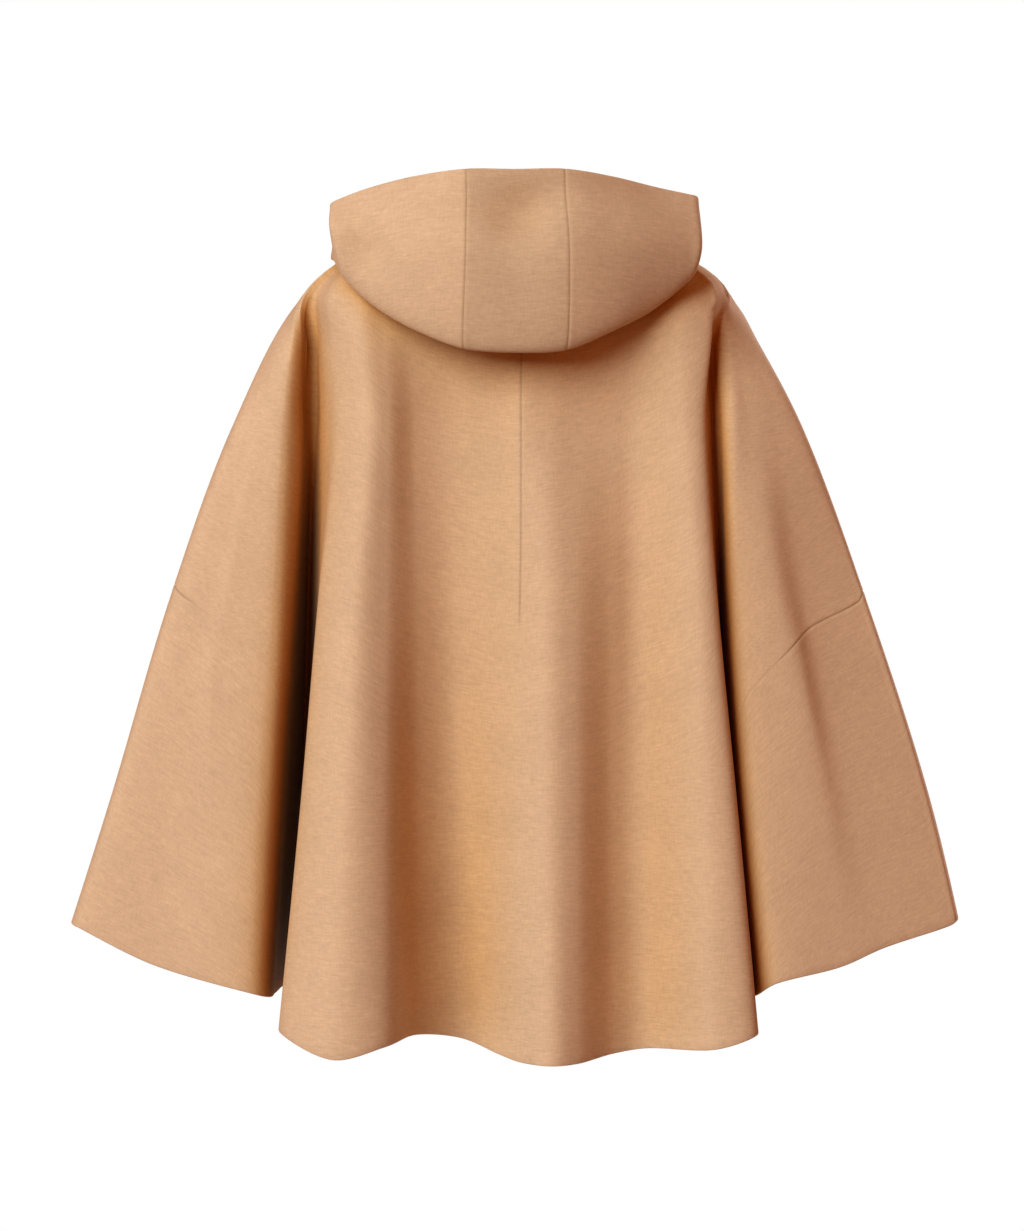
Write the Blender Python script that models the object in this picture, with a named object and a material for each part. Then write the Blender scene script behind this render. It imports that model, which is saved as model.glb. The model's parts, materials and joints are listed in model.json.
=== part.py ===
"""Hooded cloak of double-faced wool, filled out as if worn, with its hood down.

Millimetres in the tables, metres in the meshes. +Z is up, the garment's back
faces -Y and its right-hand side, seen from behind, is +X. The origin is the
middle of the neck at shoulder height.
"""
import bpy
from math import atan2, cos, radians, sin
from mathutils import Vector

# Driving sizes
MM = 0.001
CLOTH = 2.5                 # wall thickness of the two-layer wool
SEAM_GAP = 0.36             # space between two pieces at a seam
UNDERARM_ROOM = 2.2         # each piece draws back this far where the seams cross
UNDERARM_CLOTH = 1.1        # the wall is pressed thin in that corner
NECK_HALF_WIDTH = 84
NECK_HALF_DEPTH = 76
NECK_BACK_Z = -4
NECK_FRONT_DROP = 56        # the neckline is this much lower at the throat
SHOULDER_ROUND = 14         # how far the yoke swells above a straight slope
YOKE_ROUND = 4
MITRE_LIMIT = 1.7
SHARP_ANGLE = radians(50)   # the shading breaks at edges sharper than this
ROUGHNESS = 0.9

# Heights of the sections below the neck
CHEST_Z = -200
ELBOW_Z = -370
SPLIT_Z = -530              # underarm, where sleeve and body part
LOW_Z = -570
END_Z = -818

# Mesh density
YOKE_ROWS = 3
UPPER_ROWS = 8
LOWER_ROWS = 6
ROW_CROWDING = 1.3          # rows lie closer together where the folds begin
ARM_STEPS = 3
FIRST_LOWER_ROW = 0.03      # a short row just under the underarm keeps the corner shut
SHOULDER_KNOT = 2           # a line's points are neck, yoke, shoulder and so on
HALVINGS = 40               # how often a span is halved to find a height on a line
SHORTEST_SPAN = 1e-9        # keeps a division safe where two points coincide

# Each row is one fold line that runs from the neck to the hem. x and y are
# given at shoulder, chest, elbow, low and end height; y is measured from the
# arm plane, and grows away from it. cut is the height of the armhole seam or
# of the underarm on that line, hem the height where the line ends, and steps
# the number of mesh columns up to the next line.
FOLD_COLUMNS = ("name", "x", "y", "shoulder_z", "cut", "hem", "steps")
BACK_LEFT = (
    ("arm",    (-215, -279, -340, -399, -478),     (0, 28, 34, 34, 34),       -72, -355, -687, 2),
    ("rim",    (-214.5, -277, -337, -396.5, -474), (12, 62, 76, 76, 72),      -72, -357, -688, 2),
    ("bend",   (-213, -271, -330, -390, -460),     (24, 76, 87, 87, 84),      -72, -363, -691, 3),
    ("plane",  (-211, -256, -294, -328, -366),     (42, 88, 98, 101, 101),    -71, -385, -725, 3),
    ("crest",  (-209, -231, -239, -255, -264),     (55, 102, 107, 112, 115),  -70, -437, -752, 3),
    ("lip",    (-207, -213, -219, -237, -250),     (63, 86, 85, 91, 95),      -70, -484, -757, 2),
    ("nook",   (-202, -207, -213, -229, -248),     (63.5, 66, 52, 44, 48),    -70, -514, -758, 2),
    ("floor",  (-197, -201, -206, -209, -209),     (64, 60, 30, 3, 3),        -70, -530, -757, 2),
    ("slot",   (-193, -194, -197, -201, -212),     (70, 76, 52, 28, 28),      -70, -530, -781, 2),
    ("tuck",   (-187, -186, -192, -203, -221),     (85, 98, 92, 86, 88),      -70, -530, -783, 2),
    ("edge",   (-178, -173, -188, -205, -224),     (110, 122, 127, 136, 140), -70, -530, -788, 3),
    ("ridge",  (-146, -140, -152, -161, -171),     (130, 147, 167, 184, 192), -70, -530, -808, 2),
    ("brow",   (-122, -121, -123, -124, -123),     (130, 143, 157, 171, 180), -70, -530, -797, 2),
    ("foot",   (-98, -96, -93, -93, -91),          (132, 126, 132, 127, 117), -70, -530, -792, 2),
    ("valley", (-68, -62, -60, -57, -53),          (134, 120, 120, 114, 101), -70, -530, -797, 3),
    ("inner",  (-22, -14, -16, -16, -14),          (137, 130, 129, 130, 127), -70, -530, -810, 2),
    ("centre", (6, 7, 7, 7, 7),                    (138, 141, 142, 147, 146), -70, -530, -815, 2),
)
BACK_RIGHT = (
    ("swell",  (36, 33, 33, 34, 36),               (138, 141, 157, 166, 172), -70, -530, -816, 2),
    ("lee",    (64, 62, 59, 60, 61),               (136, 134, 152, 159, 161), -70, -530, -815, 2),
    ("foot",   (92, 95, 95, 95, 98),               (134, 127, 132, 130, 122), -70, -530, -809, 2),
    ("valley", (118, 117, 120, 122, 127),          (132, 126, 125, 123, 114), -70, -530, -805, 3),
    ("ridge",  (157, 167, 180, 189, 196),          (128, 142, 152, 158, 160), -70, -530, -801, 3),
    ("edge",   (187, 184, 195, 213, 236),          (116, 136, 145, 151, 153), -70, -530, -789, 2),
    ("tuck",   (196, 187, 196, 211, 231),          (92, 116, 114, 98, 100),   -70, -530, -784, 2),
    ("slot",   (201, 191, 200, 208, 223),          (83, 102, 92, 38, 34),     -70, -530, -781, 2),
    ("floor",  (205, 195, 204, 211, 211),          (76, 90, 76, 3, 3),        -70, -530, -757, 2),
    ("nook",   (208, 201, 206, 216, 238),          (70, 99, 98, 70, 68),      -70, -522, -757, 2),
    ("lip",    (211, 206, 209, 223, 246),          (67, 112, 117, 122, 124),  -70, -504, -752, 3),
    ("crest",  (213, 214, 221, 237, 264),          (57, 121, 127, 135, 137),  -70, -467, -741, 3),
    ("fall",   (215, 231, 262, 306, 332),          (42, 114, 124, 126, 122),  -70, -419, -725, 2),
    ("dip",    (216, 250, 287, 334, 390),          (30, 101, 106, 110, 110),  -71, -398, -708, 3),
    ("bend",   (217, 275, 338, 401, 456),          (20, 82, 83, 87, 89),      -72, -371, -687, 2),
    ("rim",    (217.5, 280, 343.5, 406, 461.5),    (10, 75, 82, 85, 87),      -72, -364, -684, 2),
    ("arm",    (218, 282, 346, 410, 466.5),        (0, 34, 38, 40, 40),       -72, -361, -683, 3),
)
# The fronts, from the left arm to the front edge; the right one is its mirror
FRONT = (
    ("bend",   (-215, -272, -334, -392, -458),    (20, 4, 2, 2, 2),           -70, -361, -689, 3),
    ("plane",  (-213, -258, -298, -334, -366),    (34, 38, 42, 44, 46),       -70, -390, -727, 3),
    ("crest",  (-210, -238, -254, -270, -280),    (46, 58, 68, 76, 80),       -70, -440, -750, 3),
    ("lip",    (-205, -213, -219, -226, -246),    (54, 50, 53, 56, 58),       -70, -486, -757, 2),
    ("nook",   (-202, -205, -211, -214, -238),    (62, 38, 30, 30, 30),       -70, -515, -757, 2),
    ("floor",  (-198, -198, -205, -208, -208),    (70, 26, 10, 3, 3),         -70, -530, -757, 2),
    ("slot",   (-192, -190, -197, -200, -214),    (76, 40, 28, 26, 28),       -72, -530, -781, 2),
    ("tuck",   (-186, -182, -190, -202, -226),    (84, 82, 82, 84, 86),       -73, -530, -784, 2),
    ("edge",   (-174, -176, -188, -204, -226),    (94, 112, 122, 130, 134),   -75, -530, -790, 3),
    ("ridge",  (-142, -146, -154, -160, -164),    (104, 134, 148, 158, 162),  -80, -530, -802, 4),
    ("valley", (-92, -92, -90, -88, -86),         (108, 122, 122, 124, 126),  -92, -530, -798, 4),
    ("inner",  (-42, -44, -44, -46, -50),         (106, 140, 150, 158, 162),  -108, -530, -806, 3),
    ("facing", (-2, -3, -3.5, -5, -8),            (100, 138, 150, 160, 166),  -115, -530, -806, 0),
)
# Below the underarm the floor line becomes the side seam of the body, and the
# inner line of the sleeve: x at low and end height
SIDE_SEAM_X = {"left": (-203, -210), "right": (208, 215)}
SLEEVE_FLOOR_X = {"left": (-219, -242), "right": (217, 236)}
SIDE_SEAM_HEM = -780
SLEEVE_FLOOR_HEM = -757
SLEEVE_FLOOR_Y = 3

# Sections of the folded-down hood from the throat round to the back, as points
# on the face edge (rim), the outer swell (belly) and the lowest fold. turn is
# the angle round the neck from the middle of the back, and seat how far down
# the yoke the underside lies on it. Where fold is None it lies on the yoke too.
HOOD_COLUMNS = ("name", "turn", "rim", "belly", "fold", "seat", "steps")
HOOD_LEFT = (
    ("throat",  -178.5, (-5, 110, -46),   (-4, 111, -60),    None,               0.50, 3),
    ("collar",  -135,   (-116, 98, -14),  (-120, 99, -38),   None,               0.60, 2),
    ("lapel",   -112,   (-156, 62, 0),    (-163, 60, -22),   None,               0.66, 2),
    ("side",    -92,    (-178, 10, 10),   (-183, 10, -12),   None,               0.70, 3),
    ("corner",  -68,    (-180, -100, 8),  (-180, -118, -16), (-177, -112, -39),  0.64, 2),
    ("turn",    -54,    (-177, -126, 14), (-178, -157, -14), (-163, -142, -62),  0.76, 3),
    ("flank",   -42,    (-140, -146, 26), (-144, -168, -26), (-127, -156, -94),  0.92, 3),
    ("quarter", -28,    (-95, -166, 35),  (-98, -188, -34),  (-90, -170, -115),  1.0, 3),
    ("seam",    -14,    (-46, -186, 40),  (-46, -202, -40),  (-48, -180, -131),  1.0, 3),
    ("middle",  0,      (2, -192, 39),    (2, -202, -40),    (3, -184, -135),    1.0, 3),
)
HOOD_RIGHT = (
    ("seam",    14,     (49, -186, 40),   (53, -202, -40),   (50, -180, -132),   1.0, 3),
    ("quarter", 28,     (95, -164, 35),   (98, -187, -36),   (93, -170, -114),   1.0, 3),
    ("flank",   42,     (139, -140, 27),  (145, -168, -30),  (132, -158, -93),   0.92, 3),
    ("turn",    54,     (177, -126, 20),  (180, -151, -36),  (172, -148, -58),   0.76, 2),
    ("corner",  68,     (180, -100, 15),  (180, -120, -22),  (178, -120, -38),   0.64, 3),
    ("side",    92,     (178, 10, 12),    (183, 10, -12),    None,               0.70, 2),
    ("lapel",   112,    (156, 62, 0),     (163, 60, -22),    None,               0.66, 2),
    ("collar",  135,    (116, 98, -14),   (120, 99, -38),    None,               0.60, 3),
    ("throat",  178.5,  (5, 110, -46),    (4, 111, -60),     None,               0.50, 0),
)
FOLD_LIFT = 10              # the lowest fold stands this far over the yoke at the front
HOOD_ROWS = (0, 0.5, 1, 1.33, 1.66, 2, 2.4, 3, 4, 5, 6)
# Where the underside lies over the yoke: share of seat, and space above the cloth
HOOD_UNDERSIDE = ((1.0, 6), (0.66, 6), (0.3, 5), (0.0, 0.5))
FRONT_SEAT_SHARE = 0.8      # where the fold lies on the yoke, the underside starts inside it
TURN_NUDGE = radians(4)     # small steps that give the slope of the yoke
SHARE_NUDGE = 0.1

PIECES = (
    "back", "front_left", "front_right", "sleeve_left", "sleeve_right",
    "hood_left", "hood_centre", "hood_right",
)
COLOURS = {
    "back": (0.60, 0.37, 0.20, 1),
    "front": (0.57, 0.35, 0.19, 1),
    "sleeve": (0.54, 0.33, 0.18, 1),
    "hood": (0.62, 0.38, 0.21, 1),
}


def smooth_curve(points, closed=False):
    """A centripetal spline through the points: call it with a point's number plus a fraction."""
    count = len(points)

    def point_at(number):
        if closed:
            return points[number % count]
        if number < 0:
            return points[0] * 2 - points[1]
        if number >= count:
            return points[-1] * 2 - points[-2]
        return points[number]

    def curve(place):
        start = int(place) if closed else min(int(place), count - 2)
        p0, p1, p2, p3 = (point_at(start + step) for step in (-1, 0, 1, 2))
        t0 = 0.0
        t1 = t0 + max((p1 - p0).length, SHORTEST_SPAN) ** 0.5
        t2 = t1 + max((p2 - p1).length, SHORTEST_SPAN) ** 0.5
        t3 = t2 + max((p3 - p2).length, SHORTEST_SPAN) ** 0.5
        t = t1 + (t2 - t1) * (place - start)
        a1 = p0 * ((t1 - t) / (t1 - t0)) + p1 * ((t - t0) / (t1 - t0))
        a2 = p1 * ((t2 - t) / (t2 - t1)) + p2 * ((t - t1) / (t2 - t1))
        a3 = p2 * ((t3 - t) / (t3 - t2)) + p3 * ((t - t2) / (t3 - t2))
        b1 = a1 * ((t2 - t) / (t2 - t0)) + a2 * ((t - t0) / (t2 - t0))
        b2 = a2 * ((t3 - t) / (t3 - t1)) + a3 * ((t - t1) / (t3 - t1))
        return b1 * ((t2 - t) / (t2 - t1)) + b2 * ((t - t1) / (t2 - t1))

    return curve


def neck_point(turn):
    """The neckline at an angle from the middle of the back, in radians."""
    front = (1 - cos(turn)) / 2
    return Vector((
        NECK_HALF_WIDTH * sin(turn),
        -NECK_HALF_DEPTH * cos(turn),
        NECK_BACK_Z - NECK_FRONT_DROP * front ** 3,
    ))


class FoldLine:
    """One line of the cloth from the neck over the shoulder to the hem."""

    def __init__(self, row, y_sign, mirror=False):
        record = dict(zip(FOLD_COLUMNS, row))
        self.name = record["name"]
        self.cut = record["cut"]
        self.hem = record["hem"]
        self.steps = record["steps"]
        x_sign = -1 if mirror else 1
        heights = (record["shoulder_z"], CHEST_Z, ELBOW_Z, LOW_Z, END_Z)
        if self.name == "floor":
            heights = (record["shoulder_z"], CHEST_Z, ELBOW_Z, SPLIT_Z, END_Z)
        knots = []
        for x, y, z in zip(record["x"], record["y"], heights):
            knots.append(Vector((x * x_sign, y * y_sign, z)))
        shoulder = knots[0]
        turn = atan2(shoulder.x, -shoulder.y)
        neck = neck_point(turn)
        yoke = (neck + shoulder) / 2
        yoke.z += YOKE_ROUND + SHOULDER_ROUND * sin(turn) ** 2
        self.curve = smooth_curve([neck, yoke] + knots)
        self.last = SHOULDER_KNOT + len(knots) - 1

    def at_height(self, z):
        """The point of the line at a height below the shoulder."""
        low, high = SHOULDER_KNOT, self.last
        for _ in range(HALVINGS):
            middle = (low + high) / 2
            if self.curve(middle).z > z:
                low = middle
            else:
                high = middle
        return self.curve(low)


def upper_rows(line):
    """Points of a line from the neck to the armhole seam or underarm."""
    points = []
    for row in range(YOKE_ROWS):
        points.append(line.curve(SHOULDER_KNOT * row / YOKE_ROWS))
    top = line.curve(SHOULDER_KNOT).z
    for row in range(UPPER_ROWS + 1):
        share = (row / UPPER_ROWS) ** ROW_CROWDING
        points.append(line.at_height(top + (line.cut - top) * share))
    return points


def lower_shares():
    """How far down each lower row lies, with a short first row."""
    shares = [FIRST_LOWER_ROW]
    for row in range(1, LOWER_ROWS + 1):
        shares.append(row / LOWER_ROWS)
    return shares


def lower_rows(line):
    """Points of a line from the armhole seam or underarm to the hem."""
    points = []
    for share in lower_shares():
        points.append(line.at_height(line.cut + (line.hem - line.cut) * share))
    return points


class Surface:
    """Shared points and faces; each face belongs to one named piece."""

    def __init__(self):
        self.points = {}
        self.faces = []
        self.corners = set()
        self.thin = set()
        self.side_seam = set()

    def add_face(self, piece, corners):
        self.faces.append((piece, corners))

    def face_normal(self, corners):
        a, b, c, d = (self.points[key] for key in corners)
        return (c - a).cross(d - b).normalized()

    def split(self, corners):
        """A face as two triangles, cut along its shorter diagonal."""
        a, b, c, d = corners
        if (self.points[a] - self.points[c]).length < (self.points[b] - self.points[d]).length:
            return (a, b, c), (a, c, d)
        return (a, b, d), (b, c, d)

    def normals(self):
        """Mean normal and mitre factor of each point."""
        sums = {}
        for piece, corners in self.faces:
            normal = self.face_normal(corners)
            for key in corners:
                sums.setdefault(key, []).append(normal)
        result = {}
        for key, parts in sums.items():
            mean = sum(parts, Vector()).normalized()
            spread = sum(mean.dot(part) for part in parts) / len(parts)
            if key in self.side_seam:
                mean.y = 0
                mean.normalize()
            sharp = spread * MITRE_LIMIT < 1
            result[key] = mean * (MITRE_LIMIT if sharp else 1 / spread)
        return result

    def seam_points(self):
        """Points where two pieces meet."""
        owners = {}
        for piece, corners in self.faces:
            for key in corners:
                owners.setdefault(key, set()).add(piece)
        return {key for key, pieces in owners.items() if len(pieces) > 1}

    def wall(self, piece, normals, seams):
        """Vertices and faces of the closed wall of one piece, in metres."""
        faces = [corners for owner, corners in self.faces if owner == piece]
        keys = list(dict.fromkeys(key for corners in faces for key in corners))
        number = {key: place for place, key in enumerate(keys)}
        edges = []
        centres = {key: [] for key in keys}
        for corners in faces:
            centre = sum((self.points[key] for key in corners), Vector()) / len(corners)
            for start, end in zip(corners, corners[1:] + corners[:1]):
                edges.append((start, end))
                centres[start].append(centre)
        present = set(edges)
        rim = [(start, end) for start, end in edges if (end, start) not in present]
        along = {key: Vector() for key in keys}
        for start, end in rim:
            run = (self.points[end] - self.points[start]).normalized()
            along[start] += run
            along[end] += run
        outer = []
        inner = []
        for key in keys:
            point = self.points[key].copy()
            normal = normals[key]
            thickness = CLOTH
            if key in self.thin:
                normal = normal.normalized()
                thickness = UNDERARM_CLOTH
            if key in seams:
                inward = sum(centres[key], Vector()) / len(centres[key]) - point
                room = UNDERARM_ROOM
                for direction in (normal.normalized(), along[key].normalized()):
                    inward -= direction * inward.dot(direction)
                if key not in self.corners:
                    room = SEAM_GAP / 2
                point += inward.normalized() * room
            outer.append(point * MM)
            inner.append((point - normal * thickness) * MM)
        shell = []
        depth = len(keys)
        for corners in faces:
            for triangle in self.split(corners):
                ids = [number[key] for key in triangle]
                shell.append(ids)
                shell.append([place + depth for place in reversed(ids)])
        for start, end in sorted(rim):
            a, b = number[start], number[end]
            if start < end:
                shell += [[b, a, b + depth], [a, a + depth, b + depth]]
            else:
                shell += [[b, a, a + depth], [b, a + depth, b + depth]]
        return outer + inner, shell


def material(name, colour):
    """Plain wool of one colour."""
    result = bpy.data.materials.new(name)
    result.use_nodes = True
    shader = result.node_tree.nodes["Principled BSDF"]
    shader.inputs["Base Color"].default_value = colour
    shader.inputs["Roughness"].default_value = ROUGHNESS
    shader.inputs["Metallic"].default_value = 0.0
    result.diffuse_color = colour
    return result


def add_piece(name, vertices, faces, finish):
    """One named panel."""
    mesh = bpy.data.meshes.new(name)
    mesh.from_pydata(vertices, [], faces)
    mesh.validate()
    mesh.shade_smooth()
    mesh.set_sharp_from_angle(angle=SHARP_ANGLE)
    mesh.materials.append(finish)
    piece = bpy.data.objects.new(name, mesh)
    bpy.context.collection.objects.link(piece)
    return piece


def ring_columns(lines, rows, closed):
    """Fill the columns between neighbouring lines on each row."""
    columns = []
    total = len(lines) if closed else len(lines) - 1
    for start in range(total):
        for step in range(max(lines[start].steps, 1)):
            columns.append((start, step / lines[start].steps))
    if not closed:
        columns.append((total, 0.0))
    grid = []
    for points in rows:
        curve = smooth_curve(points, closed)
        row = []
        for start, part in columns:
            row.append(points[start].copy() if part == 0.0 else curve(start + part))
        grid.append(row)
    return columns, grid


def body_lines():
    """All fold lines in order: left front edge, left arm, back, right arm, right front edge."""
    front_left = [FoldLine(row, 1) for row in reversed(FRONT)]
    steps = [line.steps for line in front_left[1:]] + [ARM_STEPS]
    for line, count in zip(front_left, steps):
        line.steps = count
    back = [FoldLine(row, -1) for row in BACK_LEFT + BACK_RIGHT]
    front_right = [FoldLine(row, 1, mirror=True) for row in FRONT]
    return front_left + back + front_right


def branch_rows(start, low_x, end_x, y, hem):
    """Points under the underarm of the side seam, or of a sleeve's inner line."""
    points = []
    for share in lower_shares():
        z = SPLIT_Z + (hem - SPLIT_Z) * share
        if z > LOW_Z:
            x = start.x + (low_x - start.x) * (SPLIT_Z - z) / (SPLIT_Z - LOW_Z)
        else:
            x = low_x + (end_x - low_x) * (LOW_Z - z) / (LOW_Z - END_Z)
        points.append(Vector((x, y, z)))
    return points


class Link:
    """A line's points below the split, with the upper columns that it hangs from."""

    def __init__(self, points, steps, top_start, top_end=None):
        self.points = points
        self.steps = steps
        self.top_start = top_start
        self.top_end = top_start if top_end is None else top_end


def add_lower_part(surface, kind, links, closed, piece_of):
    """Hang a run of links from the last upper row."""
    rows = [list(points) for points in zip(*(link.points for link in links))]
    columns, grid = ring_columns(links, rows, closed)
    for row, points in enumerate(grid):
        for column, point in enumerate(points):
            surface.points[(kind, row, column)] = point
    top_row = YOKE_ROWS + UPPER_ROWS    # the last row above the seam
    spans = len(columns) if closed else len(columns) - 1
    for column in range(spans):
        start, part = columns[column]
        link = links[start]
        step = round(part * link.steps)
        following = (column + 1) % len(columns)
        top_left = ("upper", top_row, link.top_start + step)
        top_right = ("upper", top_row, link.top_start + step + 1)
        if step + 1 == link.steps:
            top_right = ("upper", top_row, links[(start + 1) % len(links)].top_end)
        for row in range(len(grid)):
            above = (kind, row - 1, column) if row else top_left
            above_right = (kind, row - 1, following) if row else top_right
            surface.add_face(piece_of(column), [
                above, (kind, row, column), (kind, row, following), above_right])


class UpperBody:
    """The cloth from the neck to the armhole seams, with a mesh column at each fold line."""

    def __init__(self, lines):
        self.lines = lines
        self.rows = [upper_rows(line) for line in lines]
        level_rows = [list(points) for points in zip(*self.rows)]
        self.columns, self.grid = ring_columns(lines, level_rows, closed=False)
        self.last_row = len(self.grid) - 1
        self.column_of = {}
        for number, (start, part) in enumerate(self.columns):
            if part == 0.0:
                self.column_of[start] = number

    def places(self, name):
        """Where the lines of one name stand in the order."""
        return [place for place, line in enumerate(self.lines) if line.name == name]

    def add_to(self, surface):
        for row, points in enumerate(self.grid):
            for column, point in enumerate(points):
                surface.points[("upper", row, column)] = point
        for floor in self.places("floor"):
            corner = ("upper", self.last_row, self.column_of[floor])
            surface.corners.add(corner)
            surface.thin.add(corner)
        arm_left, arm_right = (self.column_of[arm] for arm in self.places("arm"))
        for row in range(self.last_row):
            for column in range(len(self.columns) - 1):
                piece = "front_left" if column < arm_left else "back"
                if column >= arm_right:
                    piece = "front_right"
                surface.add_face(piece, [
                    ("upper", row, column), ("upper", row + 1, column),
                    ("upper", row + 1, column + 1), ("upper", row, column + 1)])

    def fold_link(self, place):
        """A fold line that runs on below the seam."""
        line = self.lines[place]
        return Link(lower_rows(line), line.steps, self.column_of[place])

    def side_seam_link(self, side, before, after):
        """The side seam of the body, between the corners of the two neighbouring panels."""
        start = (self.rows[before][-1] + self.rows[after][-1]) / 2
        low_x, end_x = SIDE_SEAM_X[side]
        points = branch_rows(start, low_x, end_x, 0, SIDE_SEAM_HEM)
        steps = self.lines[after].steps
        return Link(points, steps, self.column_of[after], self.column_of[before])

    def sleeve_floor_link(self, side, place, steps):
        """The inner line of a sleeve, next to the body."""
        start = self.rows[place][-1]
        low_x, end_x = SLEEVE_FLOOR_X[side]
        y = SLEEVE_FLOOR_Y if start.y > 0 else -SLEEVE_FLOOR_Y
        points = branch_rows(start, low_x, end_x, y, SLEEVE_FLOOR_HEM)
        return Link(points, steps, self.column_of[place])


def add_lower_body(surface, upper):
    """Back and fronts under the underarms, joined at the side seams."""
    left_before, left_after, right_before, right_after = upper.places("floor")
    links = [upper.fold_link(place) for place in range(left_before)]
    left_seam = sum(link.steps for link in links)
    links.append(upper.side_seam_link("left", left_before, left_after))
    links += [upper.fold_link(place) for place in range(left_after + 1, right_before)]
    right_seam = sum(link.steps for link in links)
    links.append(upper.side_seam_link("right", right_before, right_after))
    links += [upper.fold_link(place) for place in range(right_after + 1, len(upper.lines))]

    def piece_of(column):
        if column < left_seam:
            return "front_left"
        return "back" if column < right_seam else "front_right"

    add_lower_part(surface, "body", links, False, piece_of)
    for column in (left_seam, right_seam):
        surface.thin.add(("body", 0, column))
        for row in range(len(lower_shares())):
            surface.side_seam.add(("body", row, column))


def add_sleeve(surface, upper, side, before, after):
    """One sleeve, a tube from the armhole seam to its hem."""
    name = "sleeve_" + side
    links = [upper.sleeve_floor_link(side, before, upper.lines[before].steps)]
    links += [upper.fold_link(place) for place in range(before + 1, after)]
    links.append(upper.sleeve_floor_link(side, after, 1))
    add_lower_part(surface, name, links, True, lambda column: name)


def build_body(surface):
    """Back, fronts and sleeves on one shared set of points."""
    upper = UpperBody(body_lines())
    upper.add_to(surface)
    add_lower_body(surface, upper)
    left_before, left_after, right_before, right_after = upper.places("floor")
    add_sleeve(surface, upper, "left", left_before, left_after)
    add_sleeve(surface, upper, "right", right_before, right_after)
    return upper.grid


def turn_of(point):
    """Angle round the neck, from the middle of the back."""
    return atan2(point.x, -point.y)


def row_point(row, turn):
    """The point of a yoke row at an angle round the neck."""
    for start, end in zip(row, row[1:]):
        low, high = turn_of(start), turn_of(end)
        if low <= turn <= high:
            return start.lerp(end, (turn - low) / max(high - low, SHORTEST_SPAN))
    return row[0].copy() if turn < turn_of(row[0]) else row[-1].copy()


def yoke_point(grid, turn, share, lift):
    """A point over the yoke, a share of the way from the neck to the shoulder."""

    def on_cloth(angle, part):
        place = min(max(part, 0), 1) * YOKE_ROWS
        row = min(int(place), YOKE_ROWS - 1)
        return row_point(grid[row], angle).lerp(row_point(grid[row + 1], angle), place - row)

    around = on_cloth(turn + TURN_NUDGE, share) - on_cloth(turn - TURN_NUDGE, share)
    down = on_cloth(turn, share + SHARE_NUDGE) - on_cloth(turn, share - SHARE_NUDGE)
    return on_cloth(turn, share) + down.cross(around).normalized() * lift


def hood_section(grid, rim, belly, fold, turn, seat):
    """Points down one section: face edge, swell, lowest fold, then back up to the neck."""
    knots = [rim, belly, fold]
    for share, lift in HOOD_UNDERSIDE:
        knots.append(yoke_point(grid, turn, seat * share, lift))
    curve = smooth_curve(knots)
    return [curve(place) for place in HOOD_ROWS]


def build_hood(surface, grid):
    """The folded-down hood: two sides and a centre strip over the crown."""
    sections = [dict(zip(HOOD_COLUMNS, row)) for row in HOOD_LEFT + HOOD_RIGHT]
    for section in sections:
        if section["fold"] is None:
            section["fold"] = yoke_point(
                grid, radians(section["turn"]), section["seat"], FOLD_LIFT)
            section["seat"] *= FRONT_SEAT_SHARE
    guides = {}
    for key in ("rim", "belly", "fold"):
        guides[key] = smooth_curve([Vector(section[key]) for section in sections])
    settings = smooth_curve([
        Vector((radians(section["turn"]), section["seat"], 0)) for section in sections])
    places = []
    seams = []
    for number, section in enumerate(sections):
        if section["name"] == "seam":
            seams.append(len(places))
        places += [number + step / section["steps"] for step in range(section["steps"])]
    places.append(len(sections) - 1)
    for column, place in enumerate(places):
        turn, seat, _ = settings(place)
        section = hood_section(
            grid, guides["rim"](place), guides["belly"](place), guides["fold"](place), turn, seat)
        for row, point in enumerate(section):
            surface.points[("hood", row, column)] = point
    for row in range(len(HOOD_ROWS) - 1):
        for column in range(len(places) - 1):
            piece = "hood_left" if column < seams[0] else "hood_centre"
            if column >= seams[1]:
                piece = "hood_right"
            surface.add_face(piece, [
                ("hood", row, column), ("hood", row + 1, column),
                ("hood", row + 1, column + 1), ("hood", row, column + 1)])


def clear_scene():
    for item in list(bpy.data.objects):
        bpy.data.objects.remove(item, do_unlink=True)


def main():
    clear_scene()
    surface = Surface()
    grid = build_body(surface)
    build_hood(surface, grid)
    normals = surface.normals()
    seams = surface.seam_points()
    for piece in PIECES:
        finish = material(piece + "_wool", COLOURS[piece.split("_")[0]])
        vertices, faces = surface.wall(piece, normals, seams)
        add_piece(piece, vertices, faces, finish)


main()
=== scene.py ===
"""The looks of a hooded cloak of camel double-faced wool, filled out as if worn.

The fold lines and hood sections start from those of the solids, in millimetres. They
are fitted further to the photo, mostly by a few millimetres and by 28 at most, with
one more row of points below the shoulders and one more section at each end of the
hood. The cloth is sampled finely, with seams, a stitched tuck, creases, dents,
rounded hems and melange wool. +Z is up and the garment's back faces -Y. The origin
is the middle of the neck.
"""
import json
from math import pi, radians

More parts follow.
